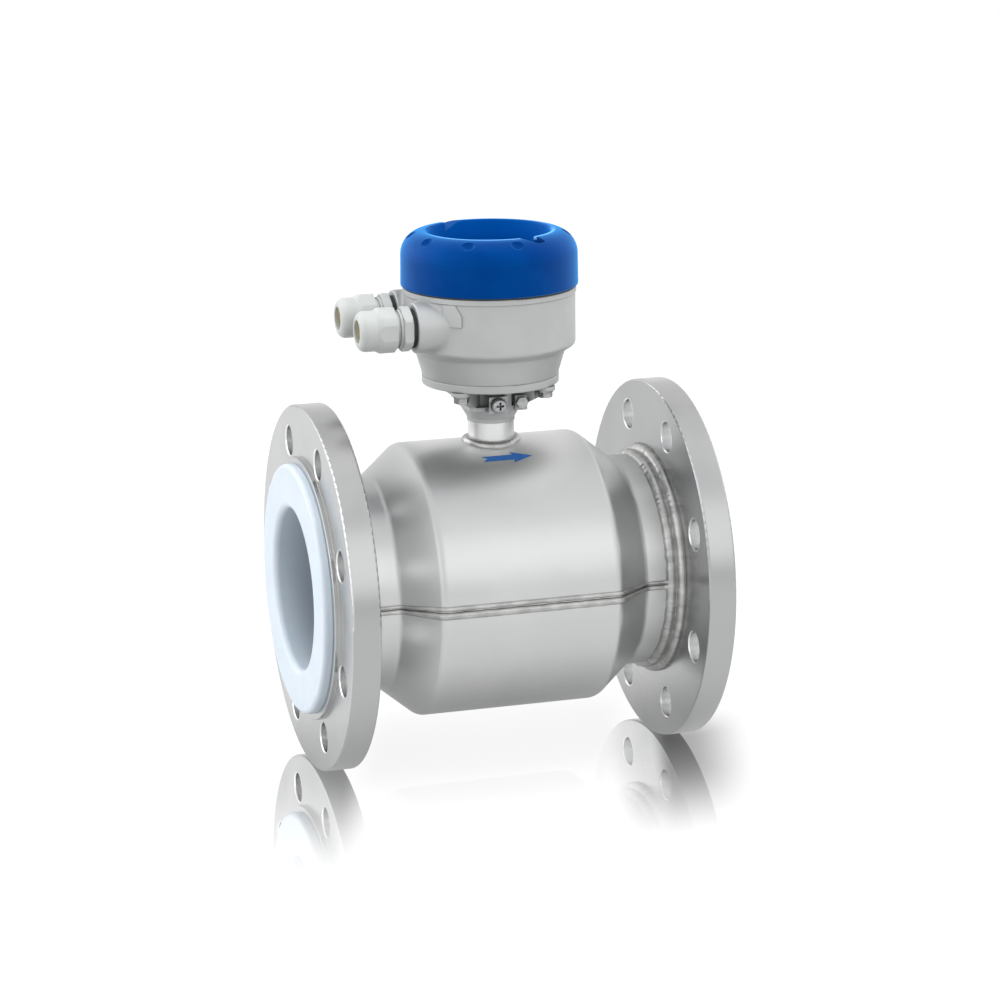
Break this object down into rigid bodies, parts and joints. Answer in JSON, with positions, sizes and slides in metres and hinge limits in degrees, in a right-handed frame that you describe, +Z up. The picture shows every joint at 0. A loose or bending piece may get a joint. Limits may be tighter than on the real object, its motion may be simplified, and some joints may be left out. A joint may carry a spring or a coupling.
{
  "type": "electromagnetic flow meter",
  "caption": "Flanged electromagnetic flow meter with a lined bore, a welded sheet housing and a round connection box with a screw cover and cable glands on a neck.",
  "frame": {"origin": "on the pipe axis, halfway between the two liner faces", "axes": "+X along the flow from the inlet to the outlet, +Z up through the neck and the connection box, +Y to the rear"},
  "size_m": [0.25, 0.22, 0.32],
  "materials": {
    "flange_steel": "satin, machined and lightly blasted",
    "housing_steel": "satin sheet steel, soft sheen",
    "weld_steel": "bright weld bead",
    "liner": "smooth milky fluoroplastic",
    "zinc_steel": "zinc plated",
    "box_casting": "light grey paint on a casting",
    "cover_blue": "strong blue, smooth",
    "seal_black": "black rubber",
    "gland_plastic": "light grey moulded plastic",
    "insert_olive": "olive yellow rubber",
    "terminal_plastic": "grey moulded plastic",
    "plate_plastic": "black sheet plastic",
    "bushing_plastic": "cream insulating plastic",
    "copper": "enamelled copper wire",
    "core_iron": "soft iron",
    "lead_sleeve": "insulated wire",
    "arrow_blue": "blue film"
  },
  "bodies": {
    "sensor": {"inlet_flange": "flange_steel", "outlet_flange": "flange_steel", "measuring_tube": "flange_steel", "liner": "liner", "upper_housing_shell": "housing_steel", "lower_housing_shell": "housing_steel", "front_seam_weld": "weld_steel", "rear_seam_weld": "weld_steel", "inlet_collar_weld": "weld_steel", "outlet_collar_weld": "weld_steel", "neck_tube": "housing_steel", "neck_weld": "weld_steel", "neck_adapter": "box_casting", "neck_seal": "seal_black", "box_bolts": "zinc_steel", "box_washers": "zinc_steel", "earth_clamp": "zinc_steel", "earth_clamp_washer": "zinc_steel", "earth_clamp_screw": "zinc_steel", "earth_bolt": "zinc_steel", "connection_box": "box_casting", "terminal_plate": "plate_plastic", "terminal_plate_screws": "zinc_steel", "signal_terminal_block": "terminal_plastic", "coil_terminal_block": "terminal_plastic", "terminal_screws": "zinc_steel", "inner_earth_screw": "zinc_steel", "front_flux_band": "core_iron", "rear_flux_band": "core_iron", "core_screws": "zinc_steel", "electrode_washers": "zinc_steel", "electrode_nuts": "zinc_steel", "signal_leads": "lead_sleeve", "coil_leads": "lead_sleeve", "flow_arrow": "arrow_blue", "upper_pole_shoe": "core_iron", "upper_coil_core": "core_iron", "upper_coil_bobbin": "bushing_plastic", "upper_coil": "copper", "lower_pole_shoe": "core_iron", "lower_coil_core": "core_iron", "lower_coil_bobbin": "bushing_plastic", "lower_coil": "copper", "front_electrode": "zinc_steel", "front_electrode_bushing": "bushing_plastic", "front_gland_body": "gland_plastic", "front_gland_washer": "seal_black", "rear_electrode": "zinc_steel", "rear_electrode_bushing": "bushing_plastic", "rear_gland_body": "gland_plastic", "rear_gland_washer": "seal_black"},
    "cover_ring": {"cover_seal": "seal_black"},
    "cover": {"cover": "cover_blue"},
    "front_insert": {"front_gland_insert": "insert_olive"},
    "front_nut": {"front_gland_nut": "gland_plastic"},
    "rear_insert": {"rear_gland_insert": "insert_olive"},
    "rear_nut": {"rear_gland_nut": "gland_plastic"}
  },
  "joints": [
    {"name": "cover_rise", "type": "slide", "parent": "sensor", "child": "cover_ring", "axis": [0, 0, 1], "range_m": [0, 0.0101]},
    {"name": "cover_turn", "type": "hinge", "parent": "cover_ring", "child": "cover", "pos_m": [0, 0, 0.18], "axis": [0, 0, 1], "range_deg": [0, 1800]},
    {"name": "front_nut_travel", "type": "slide", "parent": "sensor", "child": "front_insert", "axis": [-1, 0, 0], "range_m": [-0.0021, 0.0061]},
    {"name": "front_nut_turn", "type": "hinge", "parent": "front_insert", "child": "front_nut", "pos_m": [-0.075, -0.0224, 0.158], "axis": [-1, 0, 0], "range_deg": [-480, 1440]},
    {"name": "rear_nut_travel", "type": "slide", "parent": "sensor", "child": "rear_insert", "axis": [-1, 0, 0], "range_m": [-0.0021, 0.0061]},
    {"name": "rear_nut_turn", "type": "hinge", "parent": "rear_insert", "child": "rear_nut", "pos_m": [-0.075, 0.0224, 0.158], "axis": [-1, 0, 0], "range_deg": [-480, 1440]}
  ],
  "couplings": [
    {"joint": "cover_rise", "follows": "cover_turn", "m_per_rad": 0.00031831},
    {"joint": "front_nut_travel", "follows": "front_nut_turn", "m_per_rad": 0.00023873},
    {"joint": "rear_nut_travel", "follows": "rear_nut_turn", "m_per_rad": 0.00023873}
  ]
}
